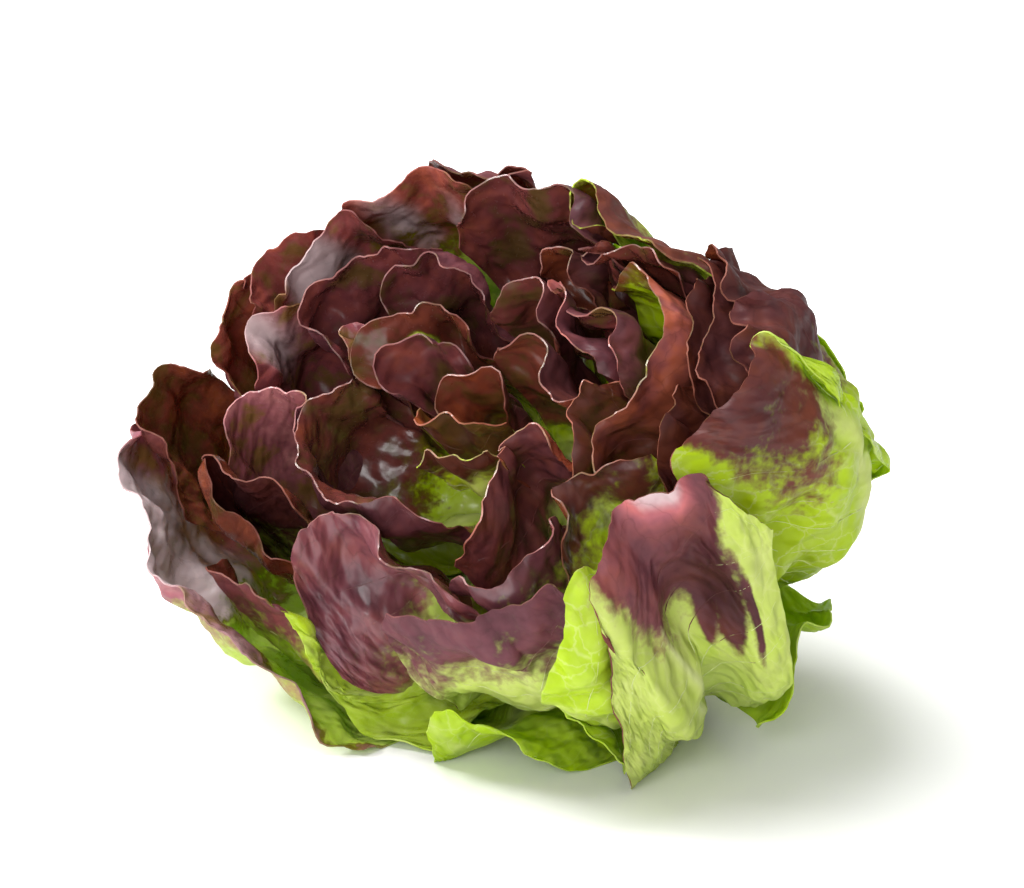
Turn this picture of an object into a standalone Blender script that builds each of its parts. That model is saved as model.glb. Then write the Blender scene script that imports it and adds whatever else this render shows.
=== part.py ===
# Red oak leaf lettuce: one cut head, lying tilted on a table.
#
# Every leaf is a thin closed blade of its own, rooted on the tapered stem. The head is laid out in
# nested cup-shaped shells round its axis: shell 0 is the axis and shell 1 the outside of the head.
# A leaf keeps to its own shell, and where the leaves inside it bulge, it is pushed out over them,
# so no two leaves cross. The side that the head lies on is pressed flat.

import math
import random
from typing import NamedTuple

import bmesh
import bpy
import numpy as np
from mathutils import Matrix, Vector

MM = 0.001

# The head: where the cut end of the stem is, and which way the opened top faces.
HEAD_BASE = Vector((0.05193, 0.0452, 0.0360))
HEAD_AXIS = Vector((-0.500, -0.552, 0.663)).normalized()

# Side profiles of the head, as (radius, height) along its axis: the outermost shell and the heart.
OUTER_PROFILE = [(15 * MM, 4 * MM), (80 * MM, -6 * MM), (128 * MM, 50 * MM), (104 * MM, 130 * MM)]
HEART_PROFILE = [(3 * MM, 56 * MM), (4 * MM, 80 * MM), (5 * MM, 105 * MM), (6 * MM, 130 * MM)]
# How far the outermost shell stands out on each side of the head, as (degrees round the axis, share).
SIDES = [(0, 1.0), (28, 1.08), (42, 1.34), (52, 1.26), (62, 1.18), (85, 1.08), (102, 0.98), (112, 0.92), (122, 0.86),
         (132, 0.84), (150, 0.8), (185, 0.8), (210, 0.87), (235, 0.95), (265, 1.0), (295, 1.06), (330, 1.06)]
SAG = 20 * MM  # how far its underside hangs down behind, where the head lies on it

# Leaf blades.
BLADE = 0.9 * MM
RIB = 2.8 * MM
REST_HEIGHT = BLADE / 2  # the pressed blades' own middle, above the table
PRESS = 1.0 * MM  # the lowest blades are pressed this much further down
FLATTEN = 1.5 * MM  # what comes this near the table lies flat on it
GAP_AT_STEM = 3.6 * MM  # between the middles of neighbouring leaves
GAP_AT_RIM = 3.2 * MM

# The stem.
STEM_CUT = -3 * MM  # the cut face, along the axis
STEM_CLEARANCE = RIB / 2 + 0.35 * MM

# Points across and along a leaf at which its shape is worked out, and how many of them are built.
ACROSS = 41
ALONG = 29
STEP = 4

# The map of what is already taken, by turn round the axis and rise from stem to rim.
TURNS = 240
RISES = 70
TOP_RISE = 1.4


class Leaf(NamedTuple):
    name: str
    edge: list  # the top edge, as (degrees round the axis, radius in mm, rise)
    belly: float = 0.0  # how far the blade below the edge stands out past it, in mm
    wave: float = 2.0  # how far the edge swings in and out between those points, in mm
    foot: tuple = ()  # middle and half width at the stem, in degrees, of a leaf that is narrow below


# From the heart outwards. 0 degrees is the side the head lies on; rise 1 is the rim.
LEAVES = [
    Leaf("heart_leaf_1", [(110, 7, 0.80), (160, 9, 0.90), (215, 9, 0.92), (260, 9, 0.90), (300, 8, 0.80)]),
    Leaf("heart_leaf_2", [(290, 15, 0.88), (330, 14, 1.00), (10, 12, 1.00), (50, 13, 1.00), (85, 14, 0.88)]),
    Leaf("heart_leaf_3", [(275, 28, 0.90), (262, 31, 1.00), (245, 28, 1.00), (228, 20, 1.00), (205, 14, 0.90)]),
    Leaf("heart_leaf_4", [(345, 24, 0.88), (5, 24, 1.00), (25, 24, 1.00), (45, 27, 1.00), (62, 30, 1.00)]),
    Leaf("heart_leaf_5", [(165, 16, 0.90), (148, 22, 1.00), (132, 29, 1.00), (118, 34, 1.00),
                          (105, 40, 1.00), (100, 45, 1.00), (106, 49, 0.94)]),
    Leaf("heart_leaf_6", [(196, 34, 0.92), (182, 39, 1.00), (168, 41, 1.00), (155, 38, 1.00), (142, 30, 0.90)]),
    Leaf("inner_leaf_1", [(272, 42, 0.92), (256, 46, 1.00), (241, 42, 1.00), (226, 36, 1.00), (210, 28, 0.92)]),
    Leaf("inner_leaf_2", [(266, 40, 0.90), (282, 52, 1.00), (294, 60, 1.00), (308, 60, 1.00), (324, 54, 1.00),
                          (342, 46, 1.00), (0, 42, 1.00), (18, 38, 0.92)]),
    Leaf("inner_leaf_3", [(168, 26, 0.90), (157, 34, 1.00), (150, 39, 1.00), (137, 44, 1.00),
                          (125, 48, 1.00), (116, 47, 0.94)]),
    Leaf("inner_leaf_4", [(28, 62, 0.92), (36, 54, 1.00), (48, 42, 1.00), (62, 32, 1.00), (78, 37, 1.00),
                          (84, 45, 1.00), (80, 54, 0.90)]),
    Leaf("inner_leaf_5", [(112, 54, 0.92), (106, 54, 1.00), (102, 51, 1.00), (92, 50, 1.00),
                          (82, 51, 0.98), (74, 53, 0.90)]),
    Leaf("inner_leaf_6", [(150, 42, 0.92), (143, 48, 1.00), (135, 54, 1.00), (126, 59, 1.00),
                          (116, 60, 1.00), (108, 59, 0.92)]),
    Leaf("inner_leaf_7", [(272, 50, 0.90), (264, 58, 1.00), (257, 56, 1.00), (248, 52, 0.94)]),
    Leaf("inner_leaf_8", [(244, 56, 0.92), (234, 62, 1.00), (223, 58, 1.00), (213, 50, 1.00), (204, 42, 0.92)]),
    Leaf("inner_leaf_9", [(26, 68, 0.88), (33, 72, 1.00), (41, 76, 1.00), (48, 78, 1.00), (56, 77, 1.00),
                          (61, 70, 1.00), (64, 66, 0.92)]),
    Leaf("inner_leaf_10", [(174, 46, 0.90), (168, 53, 1.00), (163, 59, 1.00), (158, 58, 0.98),
                           (152, 52, 0.90)]),
    Leaf("inner_leaf_11", [(150, 58, 0.92), (140, 69, 1.00), (132, 76, 1.00), (125, 78, 1.00),
                           (114, 75, 1.00), (100, 68, 1.00), (88, 62, 1.00), (74, 58, 0.92)]),
    Leaf("inner_leaf_12", [(56, 66, 0.90), (64, 63, 1.00), (74, 67, 1.00), (83, 73, 1.00), (91, 76, 0.93)]),
    Leaf("inner_leaf_13", [(302, 58, 0.90), (287, 60, 1.00), (284, 72, 1.00), (286, 84, 1.00), (292, 94, 1.00),
                           (302, 96, 0.88)], 0, 1.0),
    Leaf("inner_leaf_14", [(270, 66, 0.90), (261, 75, 1.00), (251, 79, 1.00), (242, 76, 1.00), (232, 66, 1.00),
                           (222, 58, 0.93)]),
    Leaf("inner_leaf_15", [(346.5, 97, 0.80), (341, 88, 0.90), (334, 73, 1.00), (332, 64, 1.00),
                           (338, 54, 1.00), (350, 50, 1.00), (1, 52, 1.00), (9, 59, 1.00), (21, 62, 1.00),
                           (31, 70, 1.00), (38, 80, 0.92)], 3, 1, (18, 14)),
    Leaf("inner_leaf_16", [(214, 62, 0.92), (207, 67, 1.00), (202, 74, 1.00), (194, 75, 1.00),
                           (184, 74, 1.00), (176, 73, 1.00), (167, 68, 1.00), (158, 63, 0.92)]),
    Leaf("inner_leaf_17", [(150, 50, 0.90), (154, 56, 1.00), (158, 61, 1.00), (156, 67, 1.00),
                           (152, 71, 1.00), (146, 77, 1.00), (139, 82, 1.00), (133, 82, 0.92)]),
    Leaf("outer_leaf_1", [(326, 62, 0.92), (314, 69, 1.00), (303, 86, 1.00), (297, 101, 1.00), (302, 100, 1.00),
                          (314, 92, 0.95), (328, 86, 0.90)], 0, 1.0),
    Leaf("outer_leaf_2", [(284, 82, 0.92), (277, 91, 1.00), (269, 95, 1.00), (261, 90, 1.00), (254, 84, 0.92)]),
    Leaf("outer_leaf_3", [(84, 82, 0.92), (93, 83, 1.00), (99, 88, 1.00), (104, 86, 1.00), (110, 84, 0.92)]),
    Leaf("outer_leaf_4", [(136, 84, 0.93), (127, 87, 1.00), (118, 89, 1.00), (109, 88, 1.00), (100, 86, 0.93)]),
    Leaf("outer_leaf_5", [(268, 84, 0.92), (259, 90, 1.00), (251, 98, 1.00), (243, 98, 1.00),
                          (237, 94, 1.00), (231, 86, 0.92)]),
    Leaf("outer_leaf_6", [(160, 64, 0.90), (166, 69, 1.00), (172, 76, 1.00), (174, 82, 1.00),
                          (168, 79, 1.00), (160, 77, 1.00), (150, 78, 1.00), (141, 81, 1.00),
                          (133, 83, 0.92)], 0, 0.5),
    Leaf("outer_leaf_7", [(312, 112, 0.88), (322, 102, 0.98), (334, 92, 1.00), (343, 88, 1.00),
                          (345, 93, 0.95), (346, 98, 0.88), (347, 104, 0.79), (351, 107, 0.74),
                          (359, 107, 0.70), (7, 105, 0.68)], 0, 0.5, (352, 16)),
    Leaf("outer_leaf_9", [(246, 92, 0.92), (238, 97, 1.00), (230, 101, 1.00), (224, 97, 1.00),
                          (217, 91, 1.00), (210, 86, 1.00), (204, 80, 0.92)]),
    Leaf("outer_leaf_8", [(223, 91, 0.92), (217, 94, 1.00), (210, 90, 1.00), (203, 88, 1.00),
                          (197, 85, 1.00), (192, 77, 1.00), (188, 72, 0.92)]),
    Leaf("outer_leaf_10", [(140, 86, 0.92), (132, 92, 1.00), (124, 98, 1.00), (115, 97, 1.00), (107, 95, 1.00),
                           (98, 94, 0.93)]),
    Leaf("outer_leaf_11", [(8, 90, 0.80), (9, 86, 0.92), (14, 83, 1.00), (21, 82, 1.00), (31, 85, 1.00),
                           (37, 91, 1.00), (42, 89, 1.00), (49, 91, 1.00), (55, 96, 1.00), (58, 102, 0.86)], 0, 0.5, (36, 12)),
    Leaf("outer_leaf_12", [(270, 94, 0.92), (263, 102, 1.00), (255, 108, 1.00), (247, 108, 1.00), (240, 102, 0.92)]),
    Leaf("outer_leaf_13", [(280, 106, 0.92), (274, 113, 1.00), (267, 113, 1.00), (260, 106, 1.00), (254, 102, 0.92)]),
    Leaf("outer_leaf_14", [(39, 114, 0.57), (39, 106, 0.64), (39, 101, 0.72), (40.5, 99, 0.80),
                           (43, 103, 0.88), (53, 100, 0.97), (61, 93, 1.00), (66, 98, 0.92)], 0, 0.5, (47, 8)),
    Leaf("outer_leaf_15", [(140, 86, 0.92), (134, 95, 1.00), (129, 101, 1.00), (123, 102, 1.00),
                           (117, 100, 0.92)]),
    Leaf("outer_leaf_17", [(128, 99, 0.92), (121, 104, 1.00), (116, 109, 1.00), (111, 108, 1.00),
                           (104, 103, 0.92)], -1),
    Leaf("outer_leaf_18", [(300, 118, 0.90), (292, 124, 1.00), (284, 131, 1.00), (278, 128, 1.00),
                           (275, 115, 0.94)]),
    Leaf("outer_leaf_19", [(84, 106, 0.86), (86, 98, 1.00), (93, 100, 1.00), (99, 99, 1.00),
                           (105, 101, 1.00), (110, 104, 1.00), (112, 109, 1.00), (113, 112, 0.99),
                           (112, 114, 0.95), (110, 116, 0.89)], -6, 0.5),
    Leaf("outer_leaf_16", [(41, 117, 0.57), (45, 116, 0.68), (50, 113, 0.80), (56, 108, 0.92),
                           (60, 104, 1.00), (64, 98, 1.00), (70, 91, 1.00), (77, 83, 1.00),
                           (83, 84, 1.00), (86, 90, 1.00), (86.5, 102, 0.98), (87, 110, 0.92),
                           (87.5, 113, 0.86)], 8, 0.5, (53, 6)),
    Leaf("outer_leaf_20", [(283, 121, 0.93), (290, 129, 1.00), (296, 132, 1.00), (302, 128, 1.00),
                           (308, 125, 1.00), (314, 125, 1.00), (320, 118, 1.00), (328, 111, 1.00),
                           (335, 109, 0.98), (342, 110, 0.92), (349, 111, 0.83), (356, 111, 0.76)], -2, 0.5),
    Leaf("base_leaf_1", [(240, 98, 0.62), (224, 92, 0.76), (208, 86, 0.80), (192, 84, 0.76), (176, 82, 0.62)]),
    Leaf("base_leaf_2", [(186, 80, 0.60), (170, 80, 0.74), (154, 82, 0.78), (140, 88, 0.74), (126, 96, 0.60)]),
    Leaf("base_leaf_3", [(278, 112, 0.58), (264, 110, 0.72), (250, 106, 0.76), (236, 102, 0.72), (222, 98, 0.58)]),
    Leaf("base_leaf_4", [(62, 96, 0.42), (68, 96, 0.48), (73, 96, 0.51), (77, 96, 0.52),
                         (81, 100, 0.53), (84, 107, 0.52), (88, 96, 0.46), (92, 92, 0.40)]),
    Leaf("base_leaf_5", [(318, 92, 0.24), (334, 96, 0.32), (350, 98, 0.45), (5, 96, 0.66),
                         (12, 91, 0.79), (20, 95, 0.80), (26, 100, 0.74), (30, 108, 0.62),
                         (36, 108, 0.45)]),
]


def smooth(x):
    """Rises from 0 to 1 with no corner at either end."""
    x = np.clip(x, 0.0, 1.0)
    return x * x * (3 - 2 * x)


def bezier(points, t):
    """A cubic through its end points; past 1 it runs straight on. One row for each t."""
    p = np.array(points)
    inside = np.clip(t, 0.0, 1.0)[..., None]
    rest = 1 - inside
    curve = (
        rest**3 * p[0] + 3 * rest**2 * inside * p[1] + 3 * rest * inside**2 * p[2] + inside**3 * p[3]
    )
    beyond = np.clip(t - 1, 0.0, None)[..., None]
    return curve + beyond * 3 * (p[3] - p[2])


def head_matrix():
    """The head's own frame: X points to the side it lies on, and Z out of its opened top."""
    down = Vector((0, 0, -1))
    side_down = (down - HEAD_AXIS * down.dot(HEAD_AXIS)).normalized()
    across = HEAD_AXIS.cross(side_down)
    turned = Matrix((side_down, across, HEAD_AXIS)).transposed()
    return Matrix.Translation(HEAD_BASE) @ turned.to_4x4()


def outside(turn, rise):
    """Radius and height of the outermost shell, which stands out further on some sides."""
    azimuth, share = zip(*SIDES)
    spread = np.mean(
        [np.interp(np.degrees(turn) + lag, azimuth, share, period=360) for lag in range(-12, 13, 4)], axis=0
    )
    profile = bezier(OUTER_PROFILE, rise)
    full = smooth(rise * 3)
    sag = SAG * np.clip(np.cos(turn), 0, 1) ** 2 * np.sin(math.pi * np.clip(rise / 0.42, 0, 1))
    return np.stack([profile[..., 0] * (1 + (spread - 1) * full) + sag, profile[..., 1] - 0.8 * sag], axis=-1)


def place(shell, turn, rise):
    """The point of the head's own frame at a shell, a turn round the axis in radians, and a rise."""
    heart = bezier(HEART_PROFILE, rise)
    profile = heart + np.asarray(shell)[..., None] * (outside(turn, rise) - heart)
    radius, height = profile[..., 0], profile[..., 1]
    return np.stack([radius * np.cos(turn), radius * np.sin(turn), height], axis=-1)


def shell_width(rise):
    """The distance from shell 0 to shell 1 at this rise."""
    return np.linalg.norm(bezier(OUTER_PROFILE, rise) - bezier(HEART_PROFILE, rise), axis=-1)


def gap(rise):
    """How far apart neighbouring leaves stay, as a share of the shells' width."""
    return (GAP_AT_STEM + (GAP_AT_RIM - GAP_AT_STEM) * smooth(rise * 1.5)) / shell_width(rise)


class TakenSpace:
    """The outermost shell that the leaves so far reach, at each turn and rise."""

    def __init__(self):
        self.shell = np.zeros((TURNS, RISES))

    def cell(self, turn, rise):
        column = (turn / (2 * math.pi)) * TURNS
        row = np.clip(rise / TOP_RISE * (RISES - 1), 0, RISES - 1.001)
        return column, row

    def add(self, turn, rise, shell):
        column, row = self.cell(turn, rise)
        spot = np.round(column).astype(int) % TURNS, np.round(row).astype(int)
        np.maximum.at(self.shell, spot, shell)

    def softened(self, sides=4, ends=3):
        """The same map with every leaf a little wider than it is, and its edges smoothed."""
        wide = self.shell
        for axis, reach in ((0, sides), (1, ends)):
            wide = np.max([shifted(wide, n, axis) for n in range(-reach, reach + 1)], axis=0)
        for axis, reach in ((0, sides), (1, ends)):
            wide = np.mean([shifted(wide, n, axis) for n in range(-reach, reach + 1)], axis=0)
        return wide

    def at(self, chart, turn, rise):
        column, row = self.cell(turn, rise)
        c0, r0 = np.floor(column).astype(int), np.floor(row).astype(int)
        fc, fr = column - c0, row - r0
        left, right = c0 % TURNS, (c0 + 1) % TURNS
        low = chart[left, r0] * (1 - fc) + chart[right, r0] * fc
        high = chart[left, r0 + 1] * (1 - fc) + chart[right, r0 + 1] * fc
        return low * (1 - fr) + high * fr


def shifted(chart, n, axis):
    """The chart moved by n cells. Turns wrap round; rises stop at the ends."""
    if axis == 0:
        return np.roll(chart, n, axis=0)
    rows = np.clip(np.arange(RISES) - n, 0, RISES - 1)
    return chart[:, rows]


def through(points, u):
    """A smooth curve through evenly spaced points; u runs from -1 to 1."""
    p = np.array(points, dtype=float)
    p[:, 0] = np.degrees(np.unwrap(np.radians(p[:, 0])))
    p = np.vstack([2 * p[0] - p[1], p, 2 * p[-1] - p[-2]])
    place_on = (u + 1) / 2 * (len(points) - 1)
    n = np.clip(np.floor(place_on).astype(int), 0, len(points) - 2)
    f = (place_on - n)[..., None]
    a, b, c, d = (p[n + k] for k in range(4))
    return 0.5 * (2 * b + (c - a) * f + (2 * a - 5 * b + 4 * c - d) * f**2 + (3 * b - a - 3 * c + d) * f**3)


def leaf_spread(leaf):
    """Turn and rise of a leaf's points: a fan that widens from the stem to its top edge."""
    u, v = np.meshgrid(np.linspace(-1, 1, ACROSS), np.linspace(0, 1, ALONG), indexing="ij")
    edge = through(leaf.edge, u)
    azimuth, radius, rise = edge[..., 0], edge[..., 1] * MM, edge[..., 2]
    middle = (azimuth[0] + azimuth[-1]).mean() / 2
    half = (azimuth[-1] - azimuth[0]).mean() / 2
    root = middle + u * math.copysign(min(max(1.25 * abs(half), 30), 60), half)
    fan = smooth(v / 0.85)
    if leaf.foot:
        foot_middle = leaf.foot[0] + 360 * round((middle - leaf.foot[0]) / 360)
        root = foot_middle + u * math.copysign(leaf.foot[1], half)
        fan = v**2
    turn = np.radians(root * (1 - fan) + azimuth * fan)
    return u, v, turn, rise * v, radius


def wanted_shell(leaf, number, u, v, turn, rise, radius):
    """The shell that a leaf would keep to if it were alone."""
    rng = random.Random(500 + number)
    root = 0.06 + 0.94 * number / (len(LEAVES) - 1)
    inner, outer = bezier(HEART_PROFILE, rise)[..., 0], outside(turn, rise)[..., 0]
    inner_top, outer_top = inner[:, -1:], outer[:, -1:]
    tip = (radius - inner_top) / (outer_top - inner_top)
    wave = sum(
        share * np.sin(math.pi * turns * u + rng.uniform(0, 2 * math.pi))
        for turns, share in ((1.7, 0.7), (3.1, 0.5))
    )
    swing = leaf.wave * wave * smooth(v * 1.3 - 0.3)
    low = v * 1.25 - 0.2 if leaf.foot else v * 2.2 - 1.2
    swing += leaf.belly * np.sin(math.pi * np.clip(low, 0, 1))
    return root + (tip - root) * smooth(v * 1.2) + swing * MM / np.maximum(outer - inner, 0.03)


def lay_out_leaves():
    """Turn, rise and shell of every leaf's points, worked out from the heart outwards."""
    taken = TakenSpace()
    laid = []
    for number, leaf in enumerate(LEAVES):
        u, v, turn, rise, radius = leaf_spread(leaf)
        wanted = wanted_shell(leaf, number, u, v, turn, rise, radius)
        free = taken.at(taken.softened(), turn, rise) + gap(rise)
        shell = 0.5 * (wanted + free + np.sqrt((wanted - free) ** 2 + 0.02**2))
        laid.append((turn, rise, shell))
        for part in np.linspace(0, 1, 5)[:-1]:
            for array_part in np.linspace(0, 1, 5)[:-1]:
                taken.add(*(between(a, part, array_part) for a in (turn, rise, shell)))
    return laid, taken


def between(grid, i, j):
    """The grid's values at a share i, j of the way from each point to the next."""
    rows = grid[:-1] * (1 - i) + grid[1:] * i
    return rows[:, :-1] * (1 - j) + rows[:, 1:] * j


def pressed(laid, taken):
    """The leaves' points with the shells squeezed together where the head lies on the table."""
    to_world = np.array(head_matrix())
    turn = np.arange(TURNS)[:, None] * 2 * math.pi / TURNS + np.zeros(RISES)
    rise = np.arange(RISES)[None, :] * TOP_RISE / (RISES - 1) + np.zeros((TURNS, 1))
    outermost = np.maximum(taken.softened(), 0.3)

    def height(shell):
        return place(shell, turn, rise) @ to_world[2, :3] + to_world[2, 3]

    inside, outermost_height = height(0 * outermost), height(outermost)
    floor = REST_HEIGHT - PRESS
    room = (inside - floor) / np.maximum(inside - outermost_height, 1e-6)
    squeeze = np.where(outermost_height < floor, np.minimum(room, 1.0), 1.0)
    for axis, reach in ((0, 5), (1, 3)):
        squeeze = np.mean([shifted(squeeze, n, axis) for n in range(-reach, reach + 1)], axis=0)
    return [(t, r, shell * taken.at(squeeze, t, r)) for t, r, shell in laid]


def material(name, colour, roughness):
    made = bpy.data.materials.new(name)
    made.use_nodes = True
    shader = made.node_tree.nodes["Principled BSDF"]
    shader.inputs["Base Color"].default_value = (*colour, 1.0)
    shader.inputs["Roughness"].default_value = roughness
    shader.inputs["Metallic"].default_value = 0.0
    return made


def leaf_object(leaf, points, collection, frame, finish):
    """One blade: a grid bent to its points, split into triangles and given its thickness."""
    points = points[::STEP, ::STEP]
    columns, rows = points.shape[:2]
    sheet = bmesh.new()
    bmesh.ops.create_grid(sheet, x_segments=columns - 1, y_segments=rows - 1, size=1)
    sheet.verts.ensure_lookup_table()
    to_head = frame.inverted()
    thick = []
    for vertex in sheet.verts:
        across, along = vertex.co.x, (vertex.co.y + 1) / 2
        world = frame @ Vector(points[round((across + 1) / 2 * (columns - 1)), round(along * (rows - 1))])
        above = world.z - REST_HEIGHT
        thick.append(0 if above < RIB else (1 - smooth(4 * abs(across))) * (1 - along**1.5))
        world.z = REST_HEIGHT + max(0, above - FLATTEN * math.exp(-((above / (4 * FLATTEN)) ** 2)))
        vertex.co = to_head @ world
    bmesh.ops.triangulate(sheet, faces=sheet.faces)
    mesh = bpy.data.meshes.new(leaf.name)
    sheet.to_mesh(mesh)
    sheet.free()
    made = bpy.data.objects.new(leaf.name, mesh)
    collection.objects.link(made)
    made.data.materials.append(finish)
    rib = made.vertex_groups.new(name="rib")
    for n, weight in enumerate(thick):
        rib.add([n], float(weight), "REPLACE")
    thickness = made.modifiers.new("Blade", "SOLIDIFY")
    thickness.thickness = RIB
    thickness.thickness_vertex_group = BLADE / RIB
    thickness.vertex_group = "rib"
    thickness.offset = 0
    return made


def stem_object(collection, finish):
    """The cut stem: a turned taper that every leaf is rooted on, inside the leaves' roots."""
    low_radius, low = OUTER_PROFILE[0]
    top_radius, top = HEART_PROFILE[0]
    profile = [
        (0, top),
        (top_radius - STEM_CLEARANCE, top),
        (low_radius - STEM_CLEARANCE, low),
        (low_radius - STEM_CLEARANCE - 0.6 * MM, STEM_CUT),
        (0, STEM_CUT),
    ]
    mesh = bpy.data.meshes.new("stem")
    edges = [(n, n + 1) for n in range(len(profile) - 1)]
    mesh.from_pydata([(radius, 0, height) for radius, height in profile], edges, [])
    made = bpy.data.objects.new("stem", mesh)
    collection.objects.link(made)
    made.data.materials.append(finish)
    turned = made.modifiers.new("Turned", "SCREW")
    turned.steps = turned.render_steps = 32
    turned.use_merge_vertices = True
    turned.merge_threshold = 0.00001
    turned.use_smooth_shade = True
    return made


def main():
    for old in list(bpy.data.objects):
        bpy.data.objects.remove(old)
    collection = bpy.data.collections.new("oak leaf lettuce")
    bpy.context.scene.collection.children.link(collection)
    frame = head_matrix()
    head = bpy.data.objects.new("head", None)
    collection.objects.link(head)
    head.matrix_world = frame
    finishes = {
        "stem": material("cut stem", (0.72, 0.70, 0.45), 0.6),
        "heart": material("heart leaf", (0.10, 0.035, 0.02), 0.35),
        "inner": material("inner leaf", (0.07, 0.018, 0.018), 0.35),
        "outer": material("outer leaf", (0.20, 0.09, 0.08), 0.45),
        "base": material("base leaf", (0.38, 0.55, 0.08), 0.5),
    }
    made = [stem_object(collection, finishes["stem"])]
    laid, taken = lay_out_leaves()
    for leaf, (turn, rise, shell) in zip(LEAVES, pressed(laid, taken)):
        finish = finishes[leaf.name.split("_")[0]]
        made.append(leaf_object(leaf, place(shell, turn, rise), collection, frame, finish))
    for piece in made:
        piece.parent = head


main()
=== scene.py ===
import math
import random
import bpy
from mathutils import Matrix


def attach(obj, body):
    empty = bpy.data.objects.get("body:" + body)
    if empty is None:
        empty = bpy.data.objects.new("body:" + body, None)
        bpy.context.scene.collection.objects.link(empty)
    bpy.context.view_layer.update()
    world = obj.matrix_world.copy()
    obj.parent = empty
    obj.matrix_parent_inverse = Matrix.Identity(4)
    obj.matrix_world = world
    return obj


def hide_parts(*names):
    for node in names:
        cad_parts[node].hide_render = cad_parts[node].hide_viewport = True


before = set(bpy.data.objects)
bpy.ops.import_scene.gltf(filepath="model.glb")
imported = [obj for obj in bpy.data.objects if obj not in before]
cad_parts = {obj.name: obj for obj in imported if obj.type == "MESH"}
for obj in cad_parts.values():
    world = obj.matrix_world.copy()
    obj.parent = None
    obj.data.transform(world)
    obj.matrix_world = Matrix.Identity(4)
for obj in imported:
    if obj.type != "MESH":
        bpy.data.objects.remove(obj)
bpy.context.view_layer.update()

from types import SimpleNamespace

import bpy
import numpy as np
from mathutils import Matrix, Vector

mm = 0.001
print("frame loaded:", len(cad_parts), "nodes")

# The camera stands where the photograph was taken from.
cameraSet = {"aim": Vector((0.00703, -0.0123, 0.099)), "distance": 0.95, "elevation": 18, "lens": 99}

# The head's own shape, the same as in the solids: nested shells round a tilted axis.
headShape = {
    "base": Vector((0.05193, 0.0452, 0.0360)),
    "axis": Vector((-0.500, -0.552, 0.663)).normalized(),
    "outerProfile": [(15 * mm, 4 * mm), (80 * mm, -6 * mm), (128 * mm, 50 * mm), (104 * mm, 130 * mm)],
    "heartProfile": [(3 * mm, 56 * mm), (4 * mm, 80 * mm), (5 * mm, 105 * mm), (6 * mm, 130 * mm)],
    # how far the outermost shell stands out, as (degrees round the axis, share)
    "sides": [(0, 1.0), (28, 1.08), (42, 1.34), (52, 1.26), (62, 1.18), (85, 1.08), (102, 0.98), (112, 0.92),
              (122, 0.86), (132, 0.84), (150, 0.8), (185, 0.8), (210, 0.87), (235, 0.95), (265, 1.0),
              (295, 1.06), (330, 1.06)],
    "sideLags": range(-12, 13, 4),  # degrees over which those shares are evened out
    "sag": 20 * mm,
    "restHeight": 0.45 * mm,  # middle of the blades that lie on the table
    "press": 1.0 * mm,  # how far below it the shells may reach
    "flatten": 1.5 * mm,  # and what is this near it lies flat
    "gapAtStem": 3.6 * mm,
    "gapAtRim": 3.2 * mm,
}
# How a blade fans out from the stem. The half width of its root is rootShare of its edge's, but within
# rootHalf, in degrees, and it has the edge's width from wholeAt of its length.
fanShape = {"rootShare": 1.25, "rootHalf": (30, 60), "wholeAt": 0.85, "firstRoot": 0.06,
            "waves": ((1.7, 0.7), (3.1, 0.5)), "wave": 2.0}
mapSize = {"turns": 240, "rises": 70, "topRise": 1.4, "across": 41, "along": 29}

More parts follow.
